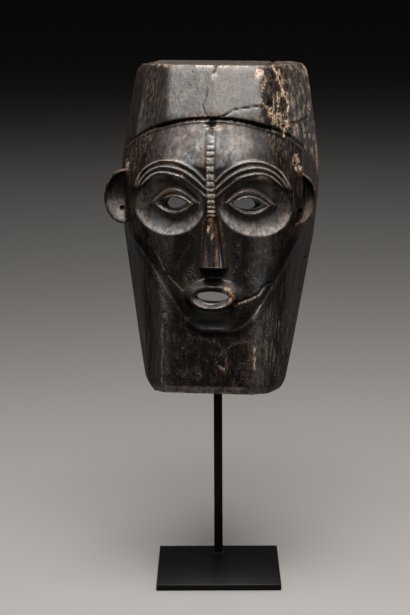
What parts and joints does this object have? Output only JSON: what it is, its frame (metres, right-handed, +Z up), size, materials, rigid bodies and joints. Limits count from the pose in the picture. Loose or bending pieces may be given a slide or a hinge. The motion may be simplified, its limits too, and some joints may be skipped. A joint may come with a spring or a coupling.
{
  "type": "wooden face mask on a stand",
  "caption": "Ngbaka wooden face mask with ribbed brows, a notched forehead scar and cup ears, on a black steel bar and plate.",
  "frame": {"origin": "centre of the base plate's underside, where it rests on the table", "axes": "+Z up, the mask's face looks towards -Y and a little towards -X, +X to the right of someone facing it"},
  "size_m": [0.2097, 0.1592, 0.499],
  "materials": {
    "wood": "satin",
    "black_steel": "satin"
  },
  "bodies": {
    "root": {"mask": "wood", "base_plate": "black_steel", "upright": "black_steel", "cradle": "black_steel"}
  },
  "joints": []
}
